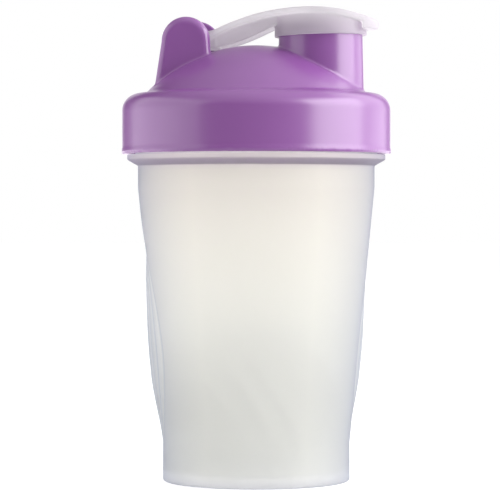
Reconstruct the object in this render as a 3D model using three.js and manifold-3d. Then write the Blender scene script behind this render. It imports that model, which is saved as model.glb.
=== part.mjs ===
// Protein shaker bottle: a cup, a screw-on lid with its seal ring, a hinged flip cap and a whisk ball.
// Millimetres, +Z up, the origin at the centre of the cup's foot, the spout towards +X.

import * as THREE from "three";
import { mergeVertices } from "three/addons/utils/BufferGeometryUtils.js";
import Module from "manifold-3d";

const wasm = await Module();
wasm.setup();

const DEGREE = Math.PI / 180;
const ROUND_SEGMENTS = 60;
const PIPE_SEGMENTS = 40;
const PIN_SEGMENTS = 24;
const REST_GAP = 0.3;

const cup = {
  footRadius: 31.3,
  topRadius: 39.6,
  taperBottom: 13,
  taperTop: 98,
  wall: 1.5,
  floorTop: 3.2,
  heelRound: 0.8,
  recessRadius: 26,
  recessDepth: 1.4,
  flangeRadius: 43.2,
  flangeBottom: 107.6,
  flangeTop: 109.1,
  chamferBottom: 105.2,
  neckRadius: 40.5,
  neckTop: 124.5,
  rimRound: 0.6,
  gripMiddles: [24 * DEGREE, 189.5 * DEGREE],
  gripHalf: 23.5 * DEGREE,
};
cup.boreRadius = cup.topRadius - cup.wall;

const thread = {
  pitch: 5,
  turns: 1.25,
  startHeight: 113.4,
  rootWidth: 2.2,
  crestWidth: 1.1,
  cupCrest: 42.0,
  lidCrest: 41.3,
  fade: 25 * DEGREE,
};

const lid = {
  radius: 45,
  bandRadius: 44.85,
  wallInner: 42.9,
  bottom: cup.flangeTop + REST_GAP,
  beadTop: 111,
  shoulderTop: 129.5,
  shoulderRound: 5.7,
  ceiling: 127.6,
  domeTop: 145.7,
  domeRadius: 50.5,
  domeBase: 36.3,
  domeWall: 2,
  plugOuter: 36.9,
  plugInner: 34.9,
  plugBottom: 121.5,
};
lid.domeCentre = lid.domeTop - lid.domeRadius;

const seal = {
  inner: 37.2,
  outer: 41.8,
  bottom: cup.neckTop + 0.2,
  top: lid.ceiling - 0.2,
  round: 0.6,
};

const spout = {
  centre: 21.7,
  baseRadius: 14.4,
  topRadius: 13.85,
  bottom: 129,
  top: 153.2,
  bore: 11.6,
  rim: 0.8,
};

const hinge = {
  x: -21.9,
  z: 146.6,
  pin: 2.0,
  socket: 2.08,
  socketDepth: 1.8,
  barrel: 3.2,
};

const ear = {
  innerFace: 11.2,
  outerFace: 14.2,
  left: -30,
  right: -13.6,
  top: 154.7,
  archRadius: 8,
  bottom: 131,
};

const cap = {
  apexX: 19.7,
  apexZ: 158.2,
  leftArc: 75,
  rightArc: 50,
  plateRadius: 15.65,
  plateThin: 1.9,
  plateThick: 2.1,
  thickenFrom: 12,
  thickenTo: 28,
  skirtRadius: 15.35,
  skirtInner: 14.4,
  skirtBottom: 148.5,
  roof: 1.8,
  plugRadius: 11.2,
  plugTip: 10.8,
  plugInner: 9.6,
  plugBottom: 150.2,
  plugTop: 157,
  tabEnd: 41,
  tabBottom: 150.7,
  tabRadius: 10.5,
  armHalf: 10.5,
  armFlareX: 2,
  armWall: 1.5,
  armRoof: 1.1,
  armDeepX: -14,
  webHalf: 7,
  webLow: 144.9,
  webRise: 6.5,
  webFlatX: -12,
  webSpan: 18,
};

// A space with room for the whole cap.
const capSpace = { bottom: 140, top: 165, half: 20 };

const ball = {
  radius: 25,
  wire: 1.1,
  turns: 8,
  stepsPerTurn: 22,
  ringSides: 6,
  endAngle: 12 * DEGREE,
  tilt: 64 * DEGREE,
};

// ---- helpers ----

const smooth = (t) => t * t * (3 - 2 * t);
const ramp = (value, from, to) => smooth(Math.min(1, Math.max(0, (value - from) / (to - from))));

// Points on an arc from one angle to another, both ends included, angles in degrees.
function arc(x, y, radius, from, to, steps) {
  return Array.from({ length: steps + 1 }, (_, i) => {
    const angle = (from + ((to - from) * i) / steps) * DEGREE;
    return [x + radius * Math.cos(angle), y + radius * Math.sin(angle)];
  });
}

// A closed geometry as a solid for joining and cutting.
function solid(geometry) {
  const bare = geometry.clone();
  bare.deleteAttribute("normal");
  bare.deleteAttribute("uv");
  const merged = mergeVertices(bare, 1e-4);
  const faces = [];
  const index = merged.index.array;
  for (let i = 0; i < index.length; i += 3) {
    const [a, b, c] = [index[i], index[i + 1], index[i + 2]];
    if (a !== b && b !== c && a !== c) faces.push(a, b, c);
  }
  return new wasm.Manifold(
    new wasm.Mesh({
      numProp: 3,
      vertProperties: merged.getAttribute("position").array,
      triVerts: new Uint32Array(faces),
    }),
  );
}

// A solid as a geometry.
function geometryOf(body) {
  const mesh = body.getMesh();
  const geometry = new THREE.BufferGeometry();
  geometry.setAttribute("position", new THREE.BufferAttribute(new Float32Array(mesh.vertProperties), 3));
  geometry.setIndex(new THREE.BufferAttribute(new Uint32Array(mesh.triVerts), 1));
  geometry.computeVertexNormals();
  return geometry;
}

// A profile of [radius, height] points turned about +Z.
function turned(profile, segments) {
  const points = profile.map(([r, z]) => new THREE.Vector2(r, z));
  return new THREE.LatheGeometry(points, segments).rotateX(Math.PI / 2);
}

// A round bar about +Z.
function bar(radius, bottom, top, segments) {
  return turned([[0, bottom], [radius, bottom], [radius, top], [0, top]], segments);
}

// A flat [x, z] outline made into a plate between two y values.
function plate(outline, yFrom, yTo) {
  const shape = new THREE.Shape(outline.map(([x, z]) => new THREE.Vector2(x, z)));
  const made = new THREE.ExtrudeGeometry(shape, { depth: yTo - yFrom, bevelEnabled: false });
  return made.rotateX(Math.PI / 2).translate(0, yTo, 0);
}

// A round bar along Y, centred on the hinge line.
function hingeBar(radius, yFrom, yTo) {
  return bar(radius, yFrom, yTo, PIN_SEGMENTS).rotateX(-Math.PI / 2).translate(hinge.x, 0, hinge.z);
}

// Rings of points joined in order into one closed skin with flat ends.
function skin(rings) {
  const sides = rings[0].length;
  const vertices = rings.flat().flatMap((p) => [p.x, p.y, p.z]);
  const faces = [];
  for (let i = 0; i + 1 < rings.length; i++) {
    for (let j = 0; j < sides; j++) {
      const k = (j + 1) % sides;
      const [a, b, c, d] = [i * sides + j, i * sides + k, (i + 1) * sides + k, (i + 1) * sides + j];
      faces.push(a, b, c, a, c, d);
    }
  }
  const last = (rings.length - 1) * sides;
  for (let j = 1; j + 1 < sides; j++) faces.push(0, j + 1, j, last, last + j, last + j + 1);
  const geometry = new THREE.BufferGeometry();
  geometry.setAttribute("position", new THREE.Float32BufferAttribute(vertices, 3));
  geometry.setIndex(faces);
  return geometry;
}

// A right-hand screw thread whose ends fade into the wall it stands on.
function threadRib(rootRadius, crestRadius, height) {
  const length = thread.turns * 2 * Math.PI;
  const steps = Math.round(thread.turns * PIPE_SEGMENTS);
  const sink = Math.sign(rootRadius - crestRadius) * 0.5;
  const rings = [];
  for (let i = 0; i <= steps; i++) {
    const angle = (length * i) / steps;
    const rise = ramp(angle, 0, thread.fade) * ramp(length - angle, 0, thread.fade);
    const crest = rootRadius + (crestRadius - rootRadius) * Math.max(0.05, rise);
    const middle = height + (thread.pitch * angle) / (2 * Math.PI);
    const section = [
      [rootRadius + sink, middle - thread.rootWidth / 2],
      [crest, middle - thread.crestWidth / 2],
      [crest, middle + thread.crestWidth / 2],
      [rootRadius + sink, middle + thread.rootWidth / 2],
    ];
    const ordered = crestRadius > rootRadius ? section.reverse() : section;
    rings.push(ordered.map(([r, z]) => new THREE.Vector3(r * Math.cos(angle), r * Math.sin(angle), z)));
  }
  return skin(rings);
}

function piece(name, body, colour, roughness, metalness = 0) {
  const material = new THREE.MeshStandardMaterial({ color: colour, roughness, metalness });
  const mesh = new THREE.Mesh(geometryOf(body), material);
  mesh.name = name;
  return mesh;
}

// ---- cup: foot, tapered body with two side grips, flange, and threaded neck ----

const taper = (z) => {
  const share = Math.min(1, Math.max(0, (z - cup.taperBottom) / (cup.taperTop - cup.taperBottom)));
  return cup.footRadius + (cup.topRadius - cup.footRadius) * share;
};

// How far the grip's face stands out from the plain taper at a height.
const gripStep = (z) => {
  const dip = -0.9 * ramp(z, 98, 87) * ramp(z, 66, 82);
  const bulge = 1.8 * ramp(z, 78, 42) * ramp(z, 12, 36);
  return dip + bulge;
};

// Half of a grip panel's width at a height, as an angle: widest at 44 mm, pointed at both ends.
function gripHalf(z) {
  const above = Math.max(0, Math.min(1, (z - 44) / 48)) ** 1.6;
  const below = Math.max(0, Math.min(1, (44 - z) / 40)) ** 2;
  return cup.gripHalf * Math.max(0.02, 1 - above - below);
}

// How much of the step shows at an angle and height: all at a panel's middle, none at its edge.
function gripShare(angle, z) {
  const turns = cup.gripMiddles.map((middle) => Math.acos(Math.cos(angle - middle)));
  const across = Math.min(...turns) / gripHalf(z);
  return Math.max(0, 1 - across * across);
}

function makeCup() {
  const heights = [4, 14, 20, 26, 32, 38, 46, 66, 76, 82, 87, 92, 98];
  const outer = heights.map((z) => [taper(z), z]);
  const inner = heights.slice().reverse().map((z) => [taper(z) - cup.wall, z]);
  const profile = [
    [0, cup.recessDepth],
    [cup.recessRadius, cup.recessDepth],
    [cup.recessRadius + 0.8, 0],
    ...arc(cup.footRadius - cup.heelRound, cup.heelRound, cup.heelRound, -90, 0, 3),
    ...outer,
    [cup.topRadius, cup.chamferBottom],
    [cup.flangeRadius, cup.flangeBottom],
    [cup.flangeRadius, cup.flangeTop],
    [cup.neckRadius, cup.flangeTop],
    ...arc(cup.neckRadius - cup.rimRound, cup.neckTop - cup.rimRound, cup.rimRound, 0, 90, 2),
    ...arc(cup.boreRadius + cup.rimRound, cup.neckTop - cup.rimRound, cup.rimRound, 90, 180, 2),
    ...inner,
    [taper(4) - cup.wall - 1, cup.floorTop],
    [0, cup.floorTop],
  ];
  const body = turned(profile, ROUND_SEGMENTS);
  const position = body.getAttribute("position");
  for (let i = 0; i < position.count; i++) {
    const [x, y, z] = [position.getX(i), position.getY(i), position.getZ(i)];
    const radius = Math.hypot(x, y);
    if (radius < cup.recessRadius + 2) continue;
    const grown = (radius + gripStep(z) * gripShare(Math.atan2(y, x), z)) / radius;
    position.setXY(i, x * grown, y * grown);
  }
  return solid(body).add(solid(threadRib(cup.neckRadius, thread.cupCrest, thread.startHeight)));
}

// ---- lid: threaded band, dome, pouring spout and two hinge ears, moulded in one ----

function makeEar() {
  const middle = (ear.left + ear.right) / 2;
  const archHeight = ear.top - ear.archRadius;
  const outline = [
    [ear.left - 2.5, ear.bottom],
    [ear.right + 1, ear.bottom],
    ...arc(middle, archHeight, ear.archRadius, 0, 180, 16),
  ];
  return solid(plate(outline, ear.innerFace, ear.outerFace));
}

function makeLid() {
  const roundRadius = lid.shoulderRound;
  const baseAngle = Math.acos(lid.domeBase / lid.domeRadius) / DEGREE;
  const insideRadius = lid.domeRadius - lid.domeWall;
  const insideAngle = Math.acos(lid.plugInner / insideRadius) / DEGREE;
  const profile = [
    [lid.wallInner, lid.bottom],
    [lid.radius, lid.bottom],
    [lid.radius, lid.beadTop],
    [lid.bandRadius, lid.beadTop + 0.2],
    ...arc(lid.bandRadius - roundRadius, lid.shoulderTop - roundRadius, roundRadius, 0, 90, 6),
    ...arc(0, lid.domeCentre, lid.domeRadius, baseAngle, 90, 9),
    ...arc(0, lid.domeCentre, insideRadius, 90, insideAngle, 7),
    [lid.plugInner, lid.plugBottom],
    [lid.plugOuter, lid.plugBottom],
    [lid.plugOuter, lid.ceiling],
    [lid.wallInner, lid.ceiling],
    [lid.wallInner, lid.bottom],
  ];
  const shell = solid(turned(profile, ROUND_SEGMENTS));

  const spoutProfile = [
    [0, spout.bottom],
    [spout.baseRadius, spout.bottom],
    ...arc(spout.topRadius - spout.rim, spout.top - spout.rim, spout.rim, 0, 90, 3),
    [0, spout.top],
  ];
  const spoutBody = solid(turned(spoutProfile, PIPE_SEGMENTS).translate(spout.centre, 0, 0));
  const spoutBore = solid(bar(spout.bore, 118, 160, PIPE_SEGMENTS).translate(spout.centre, 0, 0));
  const domeInside = solid(
    turned(arc(0, lid.domeCentre, lid.domeRadius - lid.domeWall / 2, -90, 90, 24), ROUND_SEGMENTS),
  );
  const oneEar = makeEar();
  const ears = oneEar.add(oneEar.mirror([0, 1, 0]));
  const above = spoutBody.add(ears).subtract(domeInside);

  const reach = ear.innerFace + hinge.socketDepth;
  const socket = solid(hingeBar(hinge.socket, -reach, reach));
  const rib = solid(threadRib(lid.wallInner, thread.lidCrest, thread.startHeight - thread.pitch / 2));
  return shell.add(above).add(rib).subtract(spoutBore).subtract(socket);
}

// ---- seal ring in the lid's groove ----

function makeSeal() {
  const { inner, outer, bottom, top, round } = seal;
  const profile = [
    ...arc(outer - round, bottom + round, round, -90, 0, 1),
    ...arc(outer - round, top - round, round, 0, 90, 1),
    ...arc(inner + round, top - round, round, 90, 180, 1),
    ...arc(inner + round, bottom + round, round, 180, 270, 1),
  ];
  profile.push(profile[0]);
  return solid(turned(profile, ROUND_SEGMENTS));
}

// ---- flip cap: domed cap with thumb tab, channel arm and hinge barrel, moulded in one ----

// Height of the cap's upper face: two arcs that meet level at the apex.
function capTop(x) {
  const reach = x < cap.apexX ? cap.leftArc : cap.rightArc;
  return cap.apexZ - reach + Math.sqrt(reach * reach - (x - cap.apexX) ** 2);
}

// A slab across the bottle between two x values, from under the upper face down to a lower line.
function underTop(xFrom, xTo, drop, lower, half) {
  const steps = Math.max(2, Math.ceil((xTo - xFrom) / 3));
  const xs = Array.from({ length: steps + 1 }, (_, i) => xFrom + ((xTo - xFrom) * i) / steps);
  const upper = xs.map((x) => [x, capTop(x) - drop]).reverse();
  return solid(plate([...xs.map((x) => [x, lower(x)]), ...upper], -half, half));
}

// A tall block whose plan tapers from the plate's disc over the spout to a round end.
function taperedBlock(endX, endRadius) {
  const length = Math.abs(endX - spout.centre);
  const side = Math.sign(endX - spout.centre);
  const meets = Math.acos((cap.plateRadius - endRadius) / length) / DEGREE;
  const outline = [
    ...arc(length, 0, endRadius, -meets, meets, 12),
    ...arc(0, 0, cap.plateRadius, meets, 360 - meets, 28),
  ];
  const shape = new THREE.Shape(outline.map(([x, y]) => new THREE.Vector2(spout.centre + side * x, y)));
  const depth = capSpace.top - capSpace.bottom;
  const block = new THREE.ExtrudeGeometry(shape, { depth, bevelEnabled: false });
  return solid(block.translate(0, 0, capSpace.bottom));
}

function makeCap() {
  const { bottom, half } = capSpace;
  const cylinder = (radius) =>
    solid(bar(radius, bottom, capSpace.top, PIPE_SEGMENTS).translate(spout.centre, 0, 0));
  const xRight = spout.centre + cap.skirtRadius + 1;
  const xLeft = spout.centre - cap.skirtRadius - 1;
  const skirt = underTop(xLeft, xRight, 1, () => cap.skirtBottom, half).intersect(cylinder(cap.skirtRadius));
  const hollow = underTop(xLeft, xRight, cap.roof, () => bottom, half).intersect(cylinder(cap.skirtInner));

  // The plate over the spout runs out to the thumb tab, whose end is blunt and flat underneath.
  const platePlan = taperedBlock(cap.tabEnd - cap.tabRadius, cap.tabRadius)
    .add(taperedBlock(cap.armFlareX, cap.armHalf));
  const thickness = (x) =>
    cap.plateThin + (cap.plateThick - cap.plateThin) * ramp(x, cap.thickenFrom, cap.thickenTo);
  const plateStart = cap.armFlareX - cap.armHalf - 1;
  const plateTop = underTop(plateStart, cap.tabEnd + 1, 0, (x) => capTop(x) - thickness(x), half);
  const lipStart = spout.centre + cap.skirtInner + 0.2;
  const tabLip = underTop(lipStart, cap.tabEnd + 1, 0, () => cap.tabBottom, half);
  const crown = plateTop.add(tabLip).intersect(platePlan);

  const plugProfile = [
    [cap.plugInner, cap.plugBottom],
    [cap.plugTip, cap.plugBottom],
    [cap.plugRadius, cap.plugBottom + 1.5],
    [cap.plugRadius, cap.plugTop],
    [cap.plugInner, cap.plugTop],
    [cap.plugInner, cap.plugBottom],
  ];
  const plugSpace = underTop(xLeft, xRight, 0.5, () => bottom, half);
  const plug = solid(turned(plugProfile, PIPE_SEGMENTS).translate(spout.centre, 0, 0)).intersect(plugSpace);

  // The arm is a thin strip over a narrower web, which is hollow from below and deeper near the hinge.
  const armEnd = spout.centre - cap.skirtInner - 0.3;
  const strip = underTop(cap.armDeepX, armEnd, 0, (x) => capTop(x) - cap.plateThin, cap.armHalf);
  const webBottom = (x) => cap.webLow + cap.webRise * Math.max(0, (x - cap.webFlatX) / cap.webSpan) ** 1.4;
  const web = underTop(cap.armDeepX, armEnd + 2, 0, webBottom, cap.webHalf);
  const channelFrom = cap.armDeepX + cap.armWall;
  const channelTo = spout.centre - cap.plateRadius;
  const channel = underTop(channelFrom, channelTo, cap.armRoof, () => bottom, cap.webHalf - cap.armWall);
  const root = [
    [hinge.x - 1, hinge.z - hinge.barrel + 0.1],
    [cap.armDeepX + 1, webBottom(cap.armDeepX + 1)],
    [cap.armDeepX + 1, capTop(cap.armDeepX + 1)],
    [hinge.x - 0.5, hinge.z + hinge.barrel - 0.05],
  ];
  const rootBlock = solid(plate(root, -cap.webHalf, cap.webHalf));

  const barrelHalf = ear.innerFace - REST_GAP;
  const pinHalf = ear.innerFace + hinge.socketDepth - REST_GAP;
  const barrel = solid(hingeBar(hinge.barrel, -barrelHalf, barrelHalf));
  const pins = solid(hingeBar(hinge.pin, -pinHalf, pinHalf));

  const arm = crown.add(strip).add(web).subtract(channel);
  return arm.add(skirt).subtract(hollow).add(plug).add(rootBlock).add(barrel).add(pins);
}

// ---- whisk ball: one wire wound into a ball, its two ends tucked inside ----

function wireCentre(share) {
  const polar = ball.endAngle + (Math.PI - 2 * ball.endAngle) * share;
  const around = 2 * Math.PI * ball.turns * share;
  const tuck = 1 - 0.3 * (1 - ramp(Math.min(share, 1 - share), 0, 0.06));
  const radius = (ball.radius - ball.wire) * tuck;
  return new THREE.Vector3(
    radius * Math.sin(polar) * Math.cos(around),
    radius * Math.sin(polar) * Math.sin(around),
    -radius * Math.cos(polar),
  );
}

function makeBall() {
  const steps = ball.turns * ball.stepsPerTurn;
  const rings = [];
  for (let i = 0; i <= steps; i++) {
    const here = wireCentre(i / steps);
    const along = wireCentre(Math.min(1, (i + 0.5) / steps)).sub(wireCentre(Math.max(0, (i - 0.5) / steps)));
    const side = here.clone().cross(along).normalize();
    const out = along.clone().cross(side).normalize();
    const ring = Array.from({ length: ball.ringSides }, (_, j) => {
      const angle = (2 * Math.PI * j) / ball.ringSides;
      const offset = out.clone().multiplyScalar(Math.cos(angle)).addScaledVector(side, -Math.sin(angle));
      return here.clone().addScaledVector(offset, ball.wire);
    });
    rings.push(ring);
  }
  const made = skin(rings).rotateY(ball.tilt).rotateZ(0.5);
  made.computeBoundingBox();
  return solid(made.translate(0, 0, cup.floorTop + REST_GAP / 2 - made.boundingBox.min.z));
}

const shaker = new THREE.Group();
shaker.name = "protein_shaker";
shaker.add(piece("cup", makeCup(), 0xe9e8e2, 0.45));
shaker.add(piece("lid", makeLid(), 0x9a65af, 0.35));
shaker.add(piece("lid_seal", makeSeal(), 0xe8e6e0, 0.7));
shaker.add(piece("flip_cap", makeCap(), 0xdedde2, 0.35));
shaker.add(piece("whisk_ball", makeBall(), 0xb8bbc0, 0.25, 1));

export default shaker;
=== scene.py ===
"""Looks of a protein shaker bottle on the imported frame: cup, lid, seal ring, flip cap and whisk ball."""

import math

import bpy
import numpy as np
import openvdb
from mathutils import Matrix, Vector


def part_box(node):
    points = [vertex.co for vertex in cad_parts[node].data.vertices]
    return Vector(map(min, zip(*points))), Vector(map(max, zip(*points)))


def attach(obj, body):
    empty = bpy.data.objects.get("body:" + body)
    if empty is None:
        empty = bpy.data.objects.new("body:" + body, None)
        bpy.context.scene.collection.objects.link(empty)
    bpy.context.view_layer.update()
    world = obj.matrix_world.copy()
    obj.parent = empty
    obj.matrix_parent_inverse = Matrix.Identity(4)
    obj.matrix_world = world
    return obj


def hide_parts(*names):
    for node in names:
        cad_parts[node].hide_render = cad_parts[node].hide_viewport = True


MM = 0.001
DEGREE = math.pi / 180

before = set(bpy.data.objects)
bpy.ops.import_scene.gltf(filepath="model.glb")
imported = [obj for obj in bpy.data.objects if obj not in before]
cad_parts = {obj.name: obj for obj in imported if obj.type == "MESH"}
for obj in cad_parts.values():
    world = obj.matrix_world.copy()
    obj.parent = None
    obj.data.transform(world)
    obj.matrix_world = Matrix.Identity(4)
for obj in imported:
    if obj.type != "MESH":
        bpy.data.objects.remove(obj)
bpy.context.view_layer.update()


def box_mm(node):
    """Lowest and highest corners of a CAD node, in millimetres."""
    low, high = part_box(node)
    return np.array(low) / MM, np.array(high) / MM


_, cup_high = box_mm("cup")
lid_low, lid_high = box_mm("lid")
seal_low, seal_high = box_mm("lid_seal")
cap_low, cap_high = box_mm("flip_cap")
ball_low, ball_high = box_mm("whisk_ball")

# ---- driving dimensions, millimetres ----

NECK_TOP = cup_high[2]
FLANGE_RADIUS = cup_high[0]
FLANGE_TOP = NECK_TOP - 15.4
FLANGE_BOTTOM = FLANGE_TOP - 1.5
CHAMFER_BOTTOM = FLANGE_BOTTOM - 2.4
NECK_RADIUS = 40.5
FOOT_RADIUS = 31.3
BODY_RADIUS = 39.6
TAPER_BOTTOM = 13
TAPER_TOP = 98
CUP_WALL = 1.5
HEEL_ROUND = 0.8
RIM_ROUND = 0.6
FLOOR_TOP = 3.2
FLOOR_SAG = 0.3
FLOOR_CORNER = 2
FOOT_RECESS = 1.4
RECESS_RADIUS = 26
CENTRE_HOLE = 0.6

# A grip is widest at one height and runs to a point this far above and below it.
GRIP_MIDDLES = (24 * DEGREE, 189.5 * DEGREE)
GRIP_HALF = 23.5 * DEGREE
GRIP_WIDEST = 44
GRIP_ABOVE = 48
GRIP_BELOW = 40
# Its face dips in near the top and bulges out below. Each fade is two heights, from nothing to all.
DIP_DEPTH = 0.9
DIP_FADES = ((TAPER_TOP, 87), (66, 82))
BULGE_HEIGHT = 1.8
BULGE_FADES = ((78, 42), (12, 36))
# The grooves' places and half width are shares of the grip's half width.
GROOVE_DEPTH = 0.25
GROOVE_FADES = ((88, 80), (6, 14))
GROOVE_HALF = 0.04
GROOVE_LINES = (0.19, 0.46, 0.73, 1.0)
PANEL_TINT = 0.3
# How strongly the fine grooves are painted darker and bluer: painted shade along them.
GROOVE_PAINTED_SHADE = 2.8

THREAD_PITCH = 5
THREAD_TURNS = 1.25
THREAD_START = FLANGE_TOP + 4.3
THREAD_FADE = 25 * DEGREE
THREAD_ROOT_HALF = 1.1
THREAD_CREST_HALF = 0.55
CUP_CREST = 42.0
LID_CREST = 41.3

LID_BOTTOM = lid_low[2]
LID_RADIUS = lid_high[1]
BAND_RADIUS = LID_RADIUS - 0.15
BEAD_HEIGHT = 1.6
LID_INNER = 42.9
SHOULDER_TOP = LID_BOTTOM + 20.1
SHOULDER_ROUND = 5.7
CEILING = LID_BOTTOM + 18.2
DOME_TOP = LID_BOTTOM + 36.3
DOME_RADIUS = 50.5
DOME_EDGE = 39
DOME_WALL = 2
PLUG_OUTER = 36.9
PLUG_INNER = 34.9
PLUG_BOTTOM = LID_BOTTOM + 12.1

SPOUT_X = 21.7
SPOUT_TOP = LID_BOTTOM + 43.8
SPOUT_TOP_RADIUS = 13.85
SPOUT_BASE_RADIUS = 14.4
SPOUT_HEIGHT = 25
SPOUT_BORE = 11.6

HINGE_X = -21.9
HINGE_Z = 146.6
EAR_INNER = 11.2
EAR_OUTER = 14.2
EAR_ARCH = lid_high[2] - HINGE_Z
EAR_LEFT_LEAN = 0.155
EAR_RIGHT_LEAN = 0.06
SOCKET_RADIUS = 2.08
SOCKET_DEPTH = 1.8
PIN_RADIUS = 2.0
PIN_REACH = 1.5
BARREL_RADIUS = 3.2

CAP_APEX_X = 19.7
CAP_APEX_Z = cap_high[2]
CAP_LEFT_ARC = 75
CAP_RIGHT_ARC = 50
CAP_CROWN_ARC = 150
CAP_ROOF = 1.8
PLATE_THIN = 1.9
PLATE_THICKENS = 0.2
THICKEN_FROM = 12
THICKEN_TO = 28
SKIRT_RADIUS = 15.65
SKIRT_INNER = 14.4
SKIRT_BOTTOM = CAP_APEX_Z - 9.7
SKIRT_INSET = 0.3
SKIRT_DROP = 0.35
SKIRT_SLANT = 0.022
SKIRT_DRAFT = 0.02
CAP_PLUG_RADIUS = 11.2
CAP_PLUG_TAPER = 0.4
CAP_PLUG_INNER = 9.6
CAP_PLUG_BOTTOM = SKIRT_BOTTOM + 1.7
TAB_END = cap_high[0]
TAB_RADIUS = 10.5
TAB_BOTTOM = 150.7
ARM_HALF = 10.5
ARM_FLARE_X = 2
ARM_DEEP_X = -14
ARM_WALL = 1.5
ARM_ROOF = 1.1
WEB_HALF = 7
WEB_LOW = 144.9
WEB_RISE = 6.5
WEB_FLAT_X = -12
WEB_SPAN = 18

SEAL_INNER = 37.2
SEAL_ROUND = 0.6

WIRE_RADIUS = 1.1
WIRE_TURNS = 8
WIRE_END_ANGLE = 12 * DEGREE
WIRE_TUCK = 0.3
BALL_RADIUS = 25
BALL_TILT = 64 * DEGREE
BALL_TURN = 0.5

# ---- shape helpers: signed distances, negative inside ----


def ramp(value, start, stop):
    """0 at start and 1 at stop, eased at both ends."""
    share = np.clip((value - start) / (stop - start), 0, 1)
    return share * share * (3 - 2 * share)


def faded(value, fades):
    """1 along a stretch, easing to 0 at its upper and lower ends."""
    upper, lower = fades
    return ramp(value, *upper) * ramp(value, *lower)


def meet(a, b, rounding):
    """Where both shapes are, with a rounded edge."""
    corner = np.hypot(np.maximum(a + rounding, 0), np.maximum(b + rounding, 0))
    return corner + np.minimum(np.maximum(a, b), -rounding)


def join(a, b, fillet):
    """Where either shape is, with a filleted crease."""
    crease = np.hypot(np.maximum(fillet - a, 0), np.maximum(fillet - b, 0))
    return np.maximum(np.minimum(a, b), fillet) - crease


def cut(a, b, rounding):
    """The first shape without the second, with a rounded edge."""
    return meet(a, -b, rounding)


def between(value, low, high):
    """Distance to a slab between two values."""
    return np.abs(value - (low + high) / 2) - (high - low) / 2


def sphere(x, y, z, centre_z, radius):
    return np.sqrt(x * x + y * y + (z - centre_z) ** 2) - radius


def surface_points(shape, points):
    """Each point's distance to the shape, and the slope of the distance there."""
    step = 0.04
    x, y, z = points.T
    value = shape(x, y, z)
    slope = np.stack(
        [
            shape(x + step, y, z) - shape(x - step, y, z),
            shape(x, y + step, z) - shape(x, y - step, z),
            shape(x, y, z + step) - shape(x, y, z - step),
        ],
        axis=1,
    ) / (2 * step)
    return value, slope


def new_object(name, vertices_mm, faces):
    """A smooth-shaded object from points in millimetres."""
    mesh = bpy.data.meshes.new(name)
    mesh.from_pydata((vertices_mm * MM).tolist(), [], faces)
    mesh.validate()
    mesh.update()
    mesh.shade_smooth()
    piece = bpy.data.objects.new(name, mesh)
    bpy.context.scene.collection.objects.link(piece)
    return piece


def object_from_shape(name, shape, low, high, voxel):
    """A closed quad mesh of a distance function, with its points moved onto the surface."""
    margin = 3 * voxel
    low = np.array(low) - margin
    high = np.array(high) + margin
    axes = [np.arange(start, stop, voxel) for start, stop in zip(low, high)]
    x, y, z = np.meshgrid(*axes, indexing="ij")
    values = np.clip(shape(x, y, z), -margin, margin).astype(np.float32)
    grid = openvdb.FloatGrid(margin)
    grid.copyFromArray(values)
    points, quads = grid.convertToQuads(isovalue=0.0)
    points = np.array(points, float) * voxel + low
    longest_move = 0.4 * voxel
    for _ in range(3):
        value, slope = surface_points(shape, points)
        steep = np.maximum((slope * slope).sum(axis=1), 0.25)
        move = -slope * (value / steep)[:, None]
        length = np.maximum(np.linalg.norm(move, axis=1), 1e-9)
        points += move * np.minimum(1, longest_move / length)[:, None]
    quads = np.array(quads, int)
    a, b, c, d = (points[quads[:, i]] for i in range(4))
    volume = (np.cross(c - a, d - b) * (a + b + c + d)).sum()
    if volume < 0:
        quads = quads[:, ::-1]
    return new_object(name, points, quads.tolist())


def grid_faces(rows, columns):
    """Quads between rings of points: rows run along the profile, columns go round."""
    row, column = np.meshgrid(np.arange(rows - 1), np.arange(columns), indexing="ij")
    across = (column + 1) % columns
    corners = [
        row * columns + column,
        row * columns + across,
        (row + 1) * columns + across,
        (row + 1) * columns + column,
    ]
    return np.stack(corners, axis=-1).reshape(-1, 4).tolist()


def arc(x, y, radius, start, stop, steps):
    """Points on an arc, both ends included, with the angles in degrees."""
    angles = np.linspace(start, stop, steps + 1) * DEGREE
    return [(x + radius * math.cos(a), y + radius * math.sin(a)) for a in angles]


def straight(start, stop, spacing):
    """Evenly spaced points from start towards stop, without the last one."""
    start, stop = np.array(start, float), np.array(stop, float)
    steps = max(1, round(np.linalg.norm(stop - start) / spacing))
    return [tuple(start + (stop - start) * i / steps) for i in range(steps)]


# ---- cup ----


def taper(z):
    """The cup's plain outer radius at a height."""
    share = np.clip((z - TAPER_BOTTOM) / (TAPER_TOP - TAPER_BOTTOM), 0, 1)
    return FOOT_RADIUS + (BODY_RADIUS - FOOT_RADIUS) * share


def grip_step(z):
    """How far the middle of a grip panel stands out at a height."""
    return BULGE_HEIGHT * faded(z, BULGE_FADES) - DIP_DEPTH * faded(z, DIP_FADES)


def grip_half(z):
    """Half of a grip panel's width at a height, as an angle: pointed at both ends."""
    above = np.clip((z - GRIP_WIDEST) / GRIP_ABOVE, 0, 1) ** 1.6
    below = np.clip((GRIP_WIDEST - z) / GRIP_BELOW, 0, 1) ** 2
    narrowest = 0.02
    return GRIP_HALF * np.maximum(1 - above - below, narrowest)


def grip_across(angle, z):
    """Distance from the middle of the nearer grip panel, as a share of its half width."""
    right, left = (np.arccos(np.cos(angle - middle)) for middle in GRIP_MIDDLES)
    return np.minimum(right, left) / grip_half(z)


def cup_offset(across, z):
    """How far a grip panel stands out, and the depth of the fine grooves that run along it."""
    panel = grip_step(z) * np.clip(1 - across * across, 0, 1)
    grooves = np.zeros_like(z)
    for line in GROOVE_LINES:
        grooves += np.exp(-(((across - line) / GROOVE_HALF) ** 2))
    return panel, GROOVE_DEPTH * grooves * faded(z, GROOVE_FADES)


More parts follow.
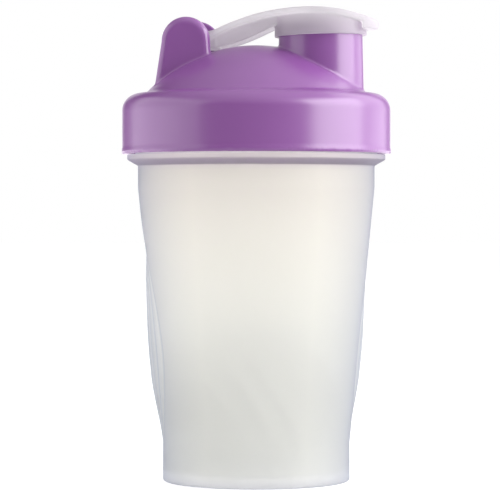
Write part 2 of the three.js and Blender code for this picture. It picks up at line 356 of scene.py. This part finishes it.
def thread_height(around, lap, start):
    """Height of the thread's middle at an angle, on its first or second lap."""
    return start + THREAD_PITCH * (around + lap * 2 * math.pi) / (2 * math.pi)


def thread_fade(around, lap):
    """How much of the thread stands: all along it, and less towards its two ends."""
    full = THREAD_TURNS * 2 * math.pi
    total = around + lap * 2 * math.pi
    return ramp(total, 0, THREAD_FADE) * ramp(full - total, 0, THREAD_FADE)


def neck_thread(angle, z):
    """How far the cup's thread stands out of the neck."""
    around = np.mod(angle, 2 * math.pi)
    out = np.zeros_like(z)
    for lap in (0, 1):
        away = np.abs(z - thread_height(around, lap, THREAD_START))
        rib = ramp(away, THREAD_ROOT_HALF + 0.05, THREAD_CREST_HALF - 0.1) * thread_fade(around, lap)
        out = np.maximum(out, rib)
    return (CUP_CREST - NECK_RADIUS) * out


def cup_angles():
    """Angles round the cup: close together on the two grips, wider apart elsewhere."""
    right, left = GRIP_MIDDLES
    edge = GRIP_HALF + 3 * DEGREE
    grip_columns = 140
    spans = (
        (right - edge, right + edge, grip_columns),
        (right + edge, left - edge, 80),
        (left - edge, left + edge, grip_columns),
        (left + edge, right - edge + 2 * math.pi, 100),
    )
    return np.concatenate([np.linspace(*span, endpoint=False) for span in spans])


def cup_under():
    """The recess under the foot, from its middle outwards."""
    return [
        *straight((CENTRE_HOLE, FOOT_RECESS), (RECESS_RADIUS - 1, FOOT_RECESS), 2.5),
        *arc(RECESS_RADIUS - 0.6, FOOT_RECESS - 0.6, 0.6, 90, 20, 3),
    ]


def cup_outside():
    """The foot ring, the tapered body, the chamfer and the flange, from the bottom up."""
    chamfer_start = (BODY_RADIUS + 0.4, CHAMFER_BOTTOM + 0.4)
    return [
        (FOOT_RADIUS - 4.3, 0.15),
        (FOOT_RADIUS - 4.0, 0),
        *straight((FOOT_RADIUS - 3.6, 0), (FOOT_RADIUS - 1.0, 0), 0.8),
        *arc(FOOT_RADIUS - HEEL_ROUND, HEEL_ROUND, HEEL_ROUND, -90, 0, 5),
        *[(taper(z), z) for z in np.linspace(2 * HEEL_ROUND, CHAMFER_BOTTOM - 0.5, 118)],
        *arc(BODY_RADIUS + 0.5, CHAMFER_BOTTOM - 0.1, 0.5, 180, 140, 3),
        *straight(chamfer_start, (FLANGE_RADIUS, FLANGE_BOTTOM - 0.2), 0.8),
        *arc(FLANGE_RADIUS - 0.3, FLANGE_BOTTOM + 0.05, 0.3, -30, 0, 2),
        *arc(FLANGE_RADIUS - 0.3, FLANGE_TOP - 0.3, 0.3, 0, 90, 4),
        *straight((FLANGE_RADIUS - 0.8, FLANGE_TOP), (NECK_RADIUS + 0.5, FLANGE_TOP), 0.8),
        *arc(NECK_RADIUS + 0.4, FLANGE_TOP + 0.4, 0.4, -90, -180, 3),
    ]


def cup_inside():
    """The rim, the bore and the inner wall, from the top down to the middle of the floor."""
    bore = BODY_RADIUS - CUP_WALL
    inner_foot = FOOT_RADIUS - CUP_WALL
    rim = NECK_TOP - RIM_ROUND
    floor_middle = (CENTRE_HOLE, FLOOR_TOP - FLOOR_SAG)
    return [
        *arc(NECK_RADIUS - RIM_ROUND, rim, RIM_ROUND, 0, 90, 4),
        *arc(bore + RIM_ROUND, rim, RIM_ROUND, 90, 180, 4),
        *[(bore, z) for z in np.linspace(NECK_TOP - 1.5, TAPER_TOP + 1, 16)],
        *[(taper(z) - CUP_WALL, z) for z in np.linspace(TAPER_TOP, FLOOR_TOP + FLOOR_CORNER + 0.2, 62)],
        *arc(inner_foot - FLOOR_CORNER, FLOOR_TOP + FLOOR_CORNER, FLOOR_CORNER, 0, -90, 6),
        *straight((inner_foot - FLOOR_CORNER - 1, FLOOR_TOP), floor_middle, 2.5),
    ]


def make_cup():
    """The profile turned round the axis, with the grips and the thread standing out from it."""
    angle = cup_angles()
    columns = len(angle)
    under, outside, inside = cup_under(), cup_outside(), cup_inside()
    neck = straight((NECK_RADIUS, FLANGE_TOP + 0.7), (NECK_RADIUS, NECK_TOP - 0.7), 0.28)
    profile = np.array(under + outside + neck + inside)
    rows = len(profile)
    row = np.arange(rows)[:, None]
    on_outside = (row >= len(under)) & (row < len(under) + len(outside))
    on_neck = (row >= len(under) + len(outside)) & (row < len(under) + len(outside) + len(neck))

    shared = np.broadcast_to(angle, (rows, columns))
    radius = profile[:, 0:1]
    z = np.broadcast_to(profile[:, 1:2], shared.shape)
    on_body = (z > 2) & (z < TAPER_TOP + 1) & (radius > FOOT_RADIUS - 4)
    across = grip_across(shared, z)
    panel, grooves = cup_offset(across, z)
    r = radius + on_body * panel - (on_body & on_outside) * grooves + on_neck * neck_thread(shared, z)
    points = np.stack([r * np.cos(shared), r * np.sin(shared), z], axis=-1).reshape(-1, 3)
    points = np.vstack([points, [[0, 0, FOOT_RECESS], [0, 0, FLOOR_TOP - FLOOR_SAG]]])

    faces = grid_faces(rows, columns)
    low_centre, high_centre = len(points) - 2, len(points) - 1
    last = (rows - 1) * columns
    for i in range(columns):
        j = (i + 1) % columns
        faces.append((low_centre, j, i))
        faces.append((high_centre, last + i, last + j))
    cup = new_object("shaker_cup", points, faces)

    # The grip attribute carries the grips' bluish tint and the painted shade along their grooves.
    inside_grip = np.clip((1.05 - across) / 0.15, 0, 1)
    tint = np.where(on_body, PANEL_TINT * inside_grip + GROOVE_PAINTED_SHADE * grooves, 0).reshape(-1)
    shade = cup.data.attributes.new("grip", "FLOAT", "POINT")
    shade.data.foreach_set("value", np.append(tint, (0, 0)).astype(np.float32))
    return cup


# ---- lid ----


def lid_thread(x, y, z, r):
    """The thread inside the band, half a pitch below the cup's."""
    around = np.mod(np.arctan2(y, x), 2 * math.pi)
    nearest = np.full_like(r, 9.0)
    for lap in (0, 1):
        fade = thread_fade(around, lap)
        crest = LID_INNER + 0.3 + (LID_CREST - LID_INNER - 0.3) * fade
        inwards = np.clip((LID_INNER - r) / (LID_INNER - LID_CREST), 0, 1)
        half = THREAD_ROOT_HALF - (THREAD_ROOT_HALF - THREAD_CREST_HALF) * inwards
        away = np.abs(z - thread_height(around, lap, THREAD_START - THREAD_PITCH / 2))
        rib = np.maximum(np.maximum(crest - r, away - half), r - LID_INNER - 1)
        nearest = np.minimum(nearest, rib)
    return nearest


def ear_shape(x, y, z):
    """Two arched plates, one at each end of the hinge, that widen towards the lid."""
    above = np.hypot(x - HINGE_X, z - HINGE_Z) - EAR_ARCH
    left = (HINGE_X - EAR_ARCH - EAR_LEFT_LEAN * (HINGE_Z - z)) - x
    right = x - (HINGE_X + EAR_ARCH + EAR_RIGHT_LEAN * (HINGE_Z - z))
    outline = np.where(z > HINGE_Z, above, np.maximum(left, right))
    outer = meet(outline, np.abs(y) - EAR_OUTER, 2.2)
    return meet(outer, EAR_INNER - np.abs(y), 0.5)


def spout_shape(x, y, z):
    widening = (SPOUT_BASE_RADIUS - SPOUT_TOP_RADIUS) * (SPOUT_TOP - z) / SPOUT_HEIGHT
    wall = np.hypot(x - SPOUT_X, y) - (SPOUT_TOP_RADIUS + widening)
    return np.maximum(meet(wall, z - SPOUT_TOP, 0.8), SHOULDER_TOP - 1.2 - z)


def lid_shape(x, y, z):
    r = np.hypot(x, y)
    dome_centre = DOME_TOP - DOME_RADIUS
    band = meet(r - BAND_RADIUS, z - SHOULDER_TOP, SHOULDER_ROUND)
    bead = meet(r - LID_RADIUS, z - LID_BOTTOM - BEAD_HEIGHT, 0.25)
    shell = join(band, bead, 0.25)
    dome = np.maximum(sphere(x, y, z, dome_centre, DOME_RADIUS), r - DOME_EDGE)
    dome = np.maximum(dome, SHOULDER_TOP - 9 - z)
    shell = join(shell, dome, 0.9)
    shell = join(shell, spout_shape(x, y, z), 0.6)
    ears = np.maximum(ear_shape(x, y, z), SHOULDER_TOP - 2 - z)
    shell = join(shell, ears, 0.7)
    shell = meet(shell, LID_BOTTOM - z, 0.3)

    skirt_room = meet(r - LID_INNER, z - CEILING, 0.6)
    shell = cut(shell, skirt_room, 0.3)
    shell = join(shell, lid_thread(x, y, z, r), 0.25)
    plug = meet(between(r, PLUG_INNER, PLUG_OUTER), between(z, PLUG_BOTTOM, CEILING + 1.5), 0.5)
    shell = join(shell, plug, 0.4)
    dome_room = np.maximum(sphere(x, y, z, dome_centre, DOME_RADIUS - DOME_WALL), r - PLUG_INNER)
    dome_room = np.maximum(dome_room, PLUG_BOTTOM - 2 - z)
    shell = cut(shell, dome_room, 0.3)
    bore = np.maximum(np.hypot(x - SPOUT_X, y) - SPOUT_BORE, PLUG_BOTTOM - z)
    shell = cut(shell, bore, 0.6)
    socket = np.hypot(x - HINGE_X, z - HINGE_Z) - SOCKET_RADIUS
    socket = np.maximum(socket, np.abs(y) - EAR_INNER - SOCKET_DEPTH)
    return np.maximum(shell, -socket)


# ---- flip cap ----


def cap_top(x, y, z):
    """Distance above the cap's upper face: two arcs that meet level, falling off a little sideways."""
    left = np.hypot(x - CAP_APEX_X, z - CAP_APEX_Z + CAP_LEFT_ARC) - CAP_LEFT_ARC
    right = np.hypot(x - CAP_APEX_X, z - CAP_APEX_Z + CAP_RIGHT_ARC) - CAP_RIGHT_ARC
    return np.where(x < CAP_APEX_X, left, right) + y * y / (2 * CAP_CROWN_ARC)


def tapered_plan(x, y, end_x, end):
    """Distance from a plan outline that tapers from the cap's disc to a round end."""
    side = np.abs(y)
    along = (x - SPOUT_X) * np.sign(end_x - SPOUT_X)
    length = abs(end_x - SPOUT_X)
    lean = (SKIRT_RADIUS - end) / length
    rise = math.sqrt(1 - lean * lean)
    tangent = along * rise - side * lean
    flank = along * lean + side * rise - SKIRT_RADIUS
    near = np.hypot(along, side) - SKIRT_RADIUS
    far = np.hypot(along - length, side) - end
    return np.where(tangent < 0, near, np.where(tangent > length * rise, far, flank))


def cap_plate(x, y, z, top):
    """The plate that runs from the hinge over the cap to the thumb tab."""
    tab = tapered_plan(x, y, TAB_END - TAB_RADIUS, TAB_RADIUS)
    neck = tapered_plan(x, y, ARM_FLARE_X, ARM_HALF)
    plan = join(tab, neck, 0.5)
    thickness = PLATE_THIN + PLATE_THICKENS * ramp(x, THICKEN_FROM, THICKEN_TO)
    plate = meet(plan, np.maximum(top, -top - thickness), 0.6)
    lip = np.maximum(top, SPOUT_X + SKIRT_INNER + 0.2 - x)
    lip = meet(meet(plan, lip, 0.6), TAB_BOTTOM - z, 0.5)
    return join(plate, lip, 0.3)


def gate_mark(x, y, z):
    """A small flat bump on each side of the web, where the plastic was let into its mould."""
    from_middle = np.hypot((x - 0.5) / 1.5, (z - 151.8) / 0.45)
    out = (np.abs(y) - WEB_HALF) / 0.3
    return (np.hypot(from_middle, out) - 1) * 0.3


def cap_arm(x, y, z, top):
    """The arm's strip, with a hollow web under it that gets deeper towards the hinge."""
    strip = meet(np.abs(y) - ARM_HALF, np.maximum(top, -top - PLATE_THIN), 0.6)
    strip = np.maximum(strip, between(x, ARM_DEEP_X - 1, SPOUT_X - SKIRT_INNER))
    web_low = WEB_LOW + WEB_RISE * np.clip((x - WEB_FLAT_X) / WEB_SPAN, 0, 2) ** 1.4
    web = meet(np.abs(y) - WEB_HALF, np.maximum(top, web_low - z), 0.4)
    web = np.maximum(web, between(x, ARM_DEEP_X - 1, SPOUT_X - SKIRT_INNER + 2))
    channel = np.maximum(np.abs(y) - WEB_HALF + ARM_WALL, top + ARM_ROOF)
    channel = np.maximum(channel, between(x, ARM_DEEP_X + 1.5, SPOUT_X - SKIRT_RADIUS))
    arm = cut(join(strip, web, 0.3), channel, 0.3)
    return join(arm, gate_mark(x, y, z), 0.1)


def cap_hinge(x, y, z):
    """The barrel between the ears and the root that joins it to the arm."""
    from_hinge = np.hypot(x - HINGE_X, z - HINGE_Z)
    barrel = meet(from_hinge - BARREL_RADIUS, np.abs(y) - EAR_INNER + 0.3, 0.4)
    lift = (x - HINGE_X) / (ARM_DEEP_X - HINGE_X)
    root_top = z - (HINGE_Z + 3.1 + 0.6 * lift)
    root_bottom = (HINGE_Z - 2.9 + 1.2 * lift) - z
    root = meet(np.maximum(root_top, root_bottom), np.abs(y) - WEB_HALF, 0.6)
    root = np.maximum(root, between(x, HINGE_X, ARM_DEEP_X + 1))
    pins = meet(from_hinge - PIN_RADIUS, np.abs(y) - EAR_INNER - PIN_REACH, 0.3)
    return join(join(barrel, root, 0.8), pins, 0.2)


def cap_skirt(x, y, z, top):
    """The ring that hangs round the spout, with a slightly slanting lower edge."""
    slant = SKIRT_SLANT * (x - SPOUT_X + SKIRT_RADIUS)
    lower_edge = SKIRT_BOTTOM - SKIRT_DROP + slant
    radius = SKIRT_RADIUS - SKIRT_INSET - SKIRT_DRAFT * (z - SKIRT_BOTTOM)
    return meet(np.hypot(x - SPOUT_X, y) - radius, np.maximum(top + 1, lower_edge - z), 0.35)


def cap_plug(x, y, z, top):
    """The ring that goes down into the spout's bore, narrower at its tip."""
    radius = CAP_PLUG_RADIUS - CAP_PLUG_TAPER * ramp(z, CAP_PLUG_BOTTOM + 1.5, CAP_PLUG_BOTTOM)
    wall = between(np.hypot(x - SPOUT_X, y), CAP_PLUG_INNER, radius)
    return meet(np.maximum(wall, top + 0.5), CAP_PLUG_BOTTOM - z, 0.4)


def cap_shape(x, y, z):
    top = cap_top(x, y, z)
    arm = join(cap_plate(x, y, z, top), cap_arm(x, y, z, top), 0.3)
    crown = join(arm, cap_hinge(x, y, z), 1.2)
    crown = join(crown, cap_skirt(x, y, z, top), 0.15)
    hollow = np.maximum(np.hypot(x - SPOUT_X, y) - SKIRT_INNER, top + CAP_ROOF)
    crown = cut(crown, hollow, 0.3)
    return join(crown, cap_plug(x, y, z, top), 0.4)


# ---- seal ring and whisk ball ----


def make_seal():
    """A turned ring with four rounded corners, closed back onto its first row of points."""
    columns = 240
    inner, outer = SEAL_INNER + SEAL_ROUND, seal_high[0] - SEAL_ROUND
    bottom, top = seal_low[2] + SEAL_ROUND, seal_high[2] - SEAL_ROUND
    corners = ((outer, bottom), (outer, top), (inner, top), (inner, bottom))
    starts = (-90, 0, 90, 180)
    turned = [arc(*corner, SEAL_ROUND, start, start + 90, 5) for corner, start in zip(corners, starts)]
    profile = np.array([point for corner in turned for point in corner])
    angle = np.arange(columns) * 2 * math.pi / columns
    r, z = profile[:, 0:1], profile[:, 1:2]
    points = np.stack([r * np.cos(angle), r * np.sin(angle), z + 0 * angle], axis=-1)
    rows = len(profile)
    faces = np.array(grid_faces(rows + 1, columns)) % (rows * columns)
    return new_object("seal_ring", points.reshape(-1, 3), faces.tolist())


def wire_centre(share):
    """Middle of the wire along its length: a spiral from pole to pole with both ends tucked in."""
    polar = WIRE_END_ANGLE + (math.pi - 2 * WIRE_END_ANGLE) * share
    around = 2 * math.pi * WIRE_TURNS * share
    tuck = 1 - WIRE_TUCK * (1 - ramp(np.minimum(share, 1 - share), 0, 0.06))
    radius = (BALL_RADIUS - WIRE_RADIUS) * tuck
    return np.stack(
        [
            radius * np.sin(polar) * np.cos(around),
            radius * np.sin(polar) * np.sin(around),
            -radius * np.cos(polar),
        ],
        axis=-1,
    )


def make_ball():
    """A round wire along the spiral, bevelled at both ends, then tilted and put in its place."""
    steps, sides = WIRE_TURNS * 72, 14
    share = np.linspace(0, 1, steps + 1)
    here = wire_centre(share)
    half_step = 0.5 / steps
    along = wire_centre(np.minimum(1, share + half_step)) - wire_centre(np.maximum(0, share - half_step))
    along /= np.linalg.norm(along, axis=1)[:, None]
    side = np.cross(here, along)
    side /= np.linalg.norm(side, axis=1)[:, None]
    out = np.cross(along, side)
    bevel = np.array([0.35, 0.75, 0.95])
    scale = np.concatenate([bevel, np.ones(steps + 1 - 2 * len(bevel)), bevel[::-1]])[:, None, None]
    angle = np.arange(sides) * 2 * math.pi / sides
    ring = np.cos(angle)[:, None] * out[:, None, :] - np.sin(angle)[:, None] * side[:, None, :]
    points = (here[:, None, :] + ring * WIRE_RADIUS * scale).reshape(-1, 3)
    faces = grid_faces(steps + 1, sides)
    last = steps * sides
    faces.append(tuple(range(sides))[::-1])
    faces.append(tuple(last + i for i in range(sides)))
    points = points @ np.array(Matrix.Rotation(BALL_TILT, 3, "Y")).T
    points = points @ np.array(Matrix.Rotation(BALL_TURN, 3, "Z")).T
    points += (ball_low + ball_high) / 2 - (points.min(axis=0) + points.max(axis=0)) / 2
    return new_object("whisk_wire_ball", points, faces)


# ---- materials ----


class Nodes:
    """A short way to add and link a material's nodes."""

    def __init__(self, name):
        self.material = bpy.data.materials.new(name)
        self.material.use_nodes = True
        self.tree = self.material.node_tree
        self.tree.nodes.clear()

    def add(self, kind, inputs=None, **settings):
        node = self.tree.nodes.new(kind)
        for key, value in settings.items():
            setattr(node, key, value)
        for key, value in (inputs or {}).items():
            if isinstance(value, bpy.types.NodeSocket):
                self.tree.links.new(value, node.inputs[key])
            else:
                node.inputs[key].default_value = value
        return node

    def noise(self, scale, detail):
        place = self.add("ShaderNodeTexCoord").outputs["Object"]
        inputs = {"Vector": place, "Scale": scale, "Detail": detail}
        return self.add("ShaderNodeTexNoise", inputs).outputs["Fac"]

    def share(self, value, start, stop, most=1.0):
        """From 0 where the value is start to most where it is stop."""
        inputs = {"Value": value, "From Min": start, "From Max": stop, "To Max": most}
        return self.add("ShaderNodeMapRange", inputs).outputs["Result"]

    def spread(self, value, low, high):
        """Noise stretched to run from low to high."""
        inputs = {"Value": value, "From Min": 0.15, "From Max": 0.85, "To Min": low, "To Max": high}
        return self.add("ShaderNodeMapRange", inputs, interpolation_type="SMOOTHSTEP").outputs["Result"]

    def bump(self, height, strength, distance):
        inputs = {"Height": height, "Strength": strength, "Distance": distance}
        return self.add("ShaderNodeBump", inputs).outputs["Normal"]

    def blend(self, share, first, second):
        """A colour between two, where share is the second one's part."""
        node = self.add("ShaderNodeMix", {"Factor": share}, data_type="RGBA")
        for socket, value in ((node.inputs[6], first), (node.inputs[7], second)):
            if isinstance(value, bpy.types.NodeSocket):
                self.tree.links.new(value, socket)
            else:
                socket.default_value = value
        return node.outputs[2]

    def mix(self, share, first, second):
        """A shader between two, where share is the second one's part."""
        return self.add("ShaderNodeMixShader", {0: share, 1: first, 2: second}).outputs[0]

    def near_face_only(self, sheet):
        """Clear where the light leaves the plastic, so that a wall is shaded once and not twice."""
        leaving = self.add("ShaderNodeNewGeometry").outputs["Backfacing"]
        return self.mix(leaving, sheet, self.add("ShaderNodeBsdfTransparent").outputs[0])

    def finish(self, shader):
        self.add("ShaderNodeOutputMaterial", {"Surface": shader})
        return self.material


def colour(red, green, blue):
    """A colour from 0-255 screen values, as linear light."""
    shares = [c / 255 for c in (red, green, blue)]
    return (*[c / 12.92 if c < 0.04045 else ((c + 0.055) / 1.055) ** 2.4 for c in shares], 1.0)


def lid_plastic():
    n = Nodes("purple_moulded_plastic")
    base = n.blend(n.noise(30, 2), colour(134, 79, 149), colour(137, 81, 152))
    shader = n.add(
        "ShaderNodeBsdfPrincipled",
        {
            "Base Color": base,
            "Roughness": 0.28,
            "IOR": 1.49,
            "Specular IOR Level": 1.0,
            "Subsurface Weight": 0.12,
            "Subsurface Radius": (1.0, 0.5, 1.0),
            "Subsurface Scale": 0.0015,
            "Normal": n.bump(n.noise(2600, 2), 0.05, 0.00003),
        },
    )
    return n.finish(shader.outputs[0])


def cap_plastic():
    n = Nodes("white_translucent_plastic")
    # The faint purple cast in both colours is painted light: the purple spout seen through the cap's white
    # wall.
    base = n.blend(n.spread(n.noise(70, 3), 0, 1), colour(227, 223, 227), colour(230, 226, 230))
    normal = n.bump(n.noise(2400, 2), 0.1, 0.00006)
    surface = n.add(
        "ShaderNodeBsdfPrincipled",
        {
            "Base Color": base,
            "Roughness": n.spread(n.noise(900, 2), 0.4, 0.45),
            "IOR": 1.49,
            "Specular IOR Level": 0.3,
            "Normal": normal,
        },
    )
    through = n.add("ShaderNodeBsdfTranslucent", {"Color": base, "Normal": normal})
    milky = n.mix(0.56, surface.outputs[0], through.outputs[0])
    sheet = n.mix(0.08, milky, n.add("ShaderNodeBsdfTransparent").outputs[0])
    return n.finish(n.near_face_only(sheet))


def cup_tint(n):
    """The cup's colour: lighter and warmer up the wall, greyer at the foot, bluer at its edges and on the
    grips. The grey foot is partly its thicker solid plastic and partly painted contact shadow, the grooves
    get painted shade, and a faint band just under the lid gets painted purple light.
    """
    place = n.add("ShaderNodeTexCoord").outputs["Object"]
    height = n.add("ShaderNodeSeparateXYZ", {0: place}).outputs["Z"]
    facing = n.add("ShaderNodeLayerWeight", {"Blend": 0.35}).outputs["Facing"]
    grip = n.add("ShaderNodeAttribute", attribute_name="grip").outputs["Fac"]
    tint = n.blend(n.spread(n.noise(25, 3), 0, 1), colour(238, 238, 232), colour(240, 240, 235))
    tint = n.blend(n.share(height, 0.05, 0.1, 0.8), tint, colour(249, 246, 236))
    # Greyer at the foot: partly the thicker solid foot, partly a painted contact shadow where it meets the
    # table.
    tint = n.blend(n.share(height, 0.005, 0.001, 0.7), tint, colour(214, 214, 220))
    tint = n.blend(n.share(facing, 0.12, 0.85), tint, colour(176, 180, 194))
    # Grip attribute: the grips' bluish tint, plus painted shade along the grooves.
    tint = n.blend(n.share(grip, 0, 1, 0.7), tint, colour(196, 202, 214))
    # Painted light: a faint purple band just under the lid, standing for the lid's purple light coming
    # through the neck.
    return n.blend(n.share(height, 0.1035, 0.1065, 0.25), tint, colour(230, 212, 244))


def cup_plastic():
    n = Nodes("milky_cup_plastic")
    base = cup_tint(n)
    normal = n.bump(n.noise(1500, 3), 0.1, 0.00008)
    surface = n.add(
        "ShaderNodeBsdfPrincipled",
        {
            "Base Color": base,
            "Roughness": n.spread(n.noise(700, 2), 0.4, 0.48),
            "IOR": 1.49,
            "Normal": normal,
        },
    )
    through = n.add("ShaderNodeBsdfTranslucent", {"Color": base, "Normal": normal})
    milky = n.mix(0.7, surface.outputs[0], through.outputs[0])
    blurred = n.add("ShaderNodeBsdfRefraction", {"Color": base, "Roughness": 0.85, "IOR": 1.4})
    return n.finish(n.near_face_only(n.mix(0.1, milky, blurred.outputs[0])))


def seal_silicone():
    n = Nodes("soft_silicone")
    base = n.blend(n.spread(n.noise(120, 3), 0, 1), colour(226, 224, 217), colour(234, 232, 226))
    shader = n.add(
        "ShaderNodeBsdfPrincipled",
        {
            "Base Color": base,
            "Roughness": n.spread(n.noise(1200, 2), 0.55, 0.65),
            "Subsurface Weight": 0.4,
            "Subsurface Scale": 0.001,
            "Normal": n.bump(n.noise(3000, 2), 0.1, 0.00005),
        },
    )
    return n.finish(shader.outputs[0])


def wire_steel():
    n = Nodes("drawn_steel_wire")
    base = n.blend(n.spread(n.noise(300, 3), 0, 1), colour(178, 180, 184), colour(200, 202, 205))
    shader = n.add(
        "ShaderNodeBsdfPrincipled",
        {
            "Base Color": base,
            "Metallic": 1.0,
            "Roughness": n.spread(n.noise(1800, 2), 0.16, 0.28),
            "Normal": n.bump(n.noise(4000, 2), 0.15, 0.00003),
        },
    )
    return n.finish(shader.outputs[0])


def dress(piece, material, body, node):
    """Gives a piece its material and the body it moves with, and hides the CAD node it stands for."""
    piece.data.materials.append(material)
    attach(piece, body)
    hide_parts(node)


dress(make_cup(), cup_plastic(), "cup", "cup")
lid_piece = object_from_shape("shaker_lid", lid_shape, lid_low, lid_high, voxel=0.6)
dress(lid_piece, lid_plastic(), "lid", "lid")
cap_piece = object_from_shape("drink_cap", cap_shape, cap_low, cap_high, voxel=0.4)
dress(cap_piece, cap_plastic(), "flip_cap", "flip_cap")
dress(make_seal(), seal_silicone(), "seal_ring", "lid_seal")
dress(make_ball(), wire_steel(), "whisk_ball", "whisk_ball")

# ---- camera, light and floor ----

CAMERA_TURN = 8 * DEGREE
CAMERA_FAR = 0.870
LENS = 186.8
EYE_HEIGHT = 0.091
LOOK_HEIGHT = 0.0772
LOOK_SIDEWAYS = -0.0021
PANEL_FAR = 1.5
PANEL_AIM = Vector((0, 0, 0.09))
WHITE = (1, 1, 1, 1)

right = Vector((math.cos(CAMERA_TURN), math.sin(CAMERA_TURN), 0))
front = Vector((math.sin(CAMERA_TURN), -math.cos(CAMERA_TURN), 0))


def make_camera():
    data = bpy.data.cameras.new("camera")
    data.lens = LENS
    data.sensor_width = 36
    camera = bpy.data.objects.new("camera", data)
    bpy.context.scene.collection.objects.link(camera)
    camera.location = front * CAMERA_FAR + Vector((0, 0, EYE_HEIGHT))
    aim = right * LOOK_SIDEWAYS + Vector((0, 0, LOOK_HEIGHT)) - camera.location
    camera.rotation_euler = aim.to_track_quat("-Z", "Y").to_euler()
    bpy.context.scene.camera = camera


def soft_panel(name, turn, height, wide, tall, brightness):
    """A flat light that faces the bottle, with its place and size as angles in degrees.

    Turn runs from the camera's side to the right, and a brightness of 1 shows as white.
    """
    turn, height = turn * DEGREE, height * DEGREE
    away = (right * math.sin(turn) + front * math.cos(turn)) * math.cos(height)
    away += Vector((0, 0, math.sin(height)))
    data = bpy.data.lights.new(name, "AREA")
    data.shape = "RECTANGLE"
    data.size = 2 * PANEL_FAR * math.tan(wide * DEGREE / 2)
    data.size_y = 2 * PANEL_FAR * math.tan(tall * DEGREE / 2)
    data.energy = brightness * math.pi * data.size * data.size_y
    lamp = bpy.data.objects.new(name, data)
    lamp.location = PANEL_AIM + away * PANEL_FAR
    lamp.rotation_euler = (-away).to_track_quat("-Z", "Y").to_euler()
    bpy.context.scene.collection.objects.link(lamp)


def make_world():
    """Bright overhead and dimmer lower down, but plain white wherever the camera sees it."""
    world = bpy.data.worlds.new("studio")
    world.use_nodes = True
    tree = world.node_tree
    tree.nodes.clear()
    place = tree.nodes.new("ShaderNodeTexCoord")
    dot = tree.nodes.new("ShaderNodeVectorMath")
    dot.operation = "DOT_PRODUCT"
    dot.inputs[1].default_value = front * 0.25 + right * 0.25 + Vector((0, 0, 1))
    tree.links.new(place.outputs["Generated"], dot.inputs[0])
    level = tree.nodes.new("ShaderNodeMapRange")
    level.inputs["From Min"].default_value = 0.3
    level.inputs["From Max"].default_value = 1.0
    level.inputs["To Min"].default_value = 0.12
    level.inputs["To Max"].default_value = 1.0
    tree.links.new(dot.outputs["Value"], level.inputs["Value"])
    path = tree.nodes.new("ShaderNodeLightPath")
    pick = tree.nodes.new("ShaderNodeMix")
    tree.links.new(path.outputs["Is Camera Ray"], pick.inputs[0])
    tree.links.new(level.outputs["Result"], pick.inputs[2])
    pick.inputs[3].default_value = 1.0
    glow = tree.nodes.new("ShaderNodeBackground")
    glow.inputs["Color"].default_value = WHITE
    tree.links.new(pick.outputs[0], glow.inputs["Strength"])
    output = tree.nodes.new("ShaderNodeOutputWorld")
    tree.links.new(glow.outputs[0], output.inputs["Surface"])
    bpy.context.scene.world = world


def make_floor():
    """A table that the camera sees as plain white, and that lights the bottle more from behind it."""
    n = Nodes("white_table")
    shade = n.blend(n.spread(n.noise(8, 2), 0, 1), (0.5, 0.5, 0.5, 1), (0.53, 0.53, 0.53, 1))
    surface = n.add("ShaderNodeBsdfDiffuse", {"Color": shade})
    glow = n.add("ShaderNodeEmission", {"Color": WHITE, "Strength": 0.7})
    seen = n.add("ShaderNodeLightPath").outputs["Is Camera Ray"]
    place = n.add("ShaderNodeNewGeometry").outputs["Position"]
    way = front + right * 0.35
    ahead = n.add("ShaderNodeVectorMath", {0: place, 1: way}, operation="DOT_PRODUCT").outputs["Value"]
    inputs = {"Value": ahead, "From Min": -0.1, "From Max": 0.09, "To Min": 1.5, "To Max": 0.12}
    behind = n.add("ShaderNodeMapRange", inputs).outputs["Result"]
    unseen = n.add("ShaderNodeEmission", {"Color": WHITE, "Strength": behind})
    extra = n.mix(seen, unseen.outputs[0], glow.outputs[0])
    both = n.add("ShaderNodeAddShader", {0: surface.outputs[0], 1: extra})
    half = 6000.0
    just_below = 0.0002
    corners = np.array([[-half, -half, 0], [half, -half, 0], [half, half, 0], [-half, half, 0]], float)
    floor = new_object("table", corners, [(0, 1, 2, 3)])
    floor.location.z = -just_below
    floor.data.materials.append(n.finish(both.outputs[0]))


make_camera()
make_world()
make_floor()
soft_panel("right_panel", turn=75, height=18, wide=56, tall=54, brightness=4.8)
soft_panel("right_back_panel", turn=126, height=24, wide=40, tall=60, brightness=1.85)
soft_panel("left_panel", turn=-90, height=14, wide=84, tall=60, brightness=1.35)
soft_panel("back_panel", turn=180, height=5, wide=40, tall=38, brightness=1.0)
bpy.context.scene.view_settings.view_transform = "Standard"
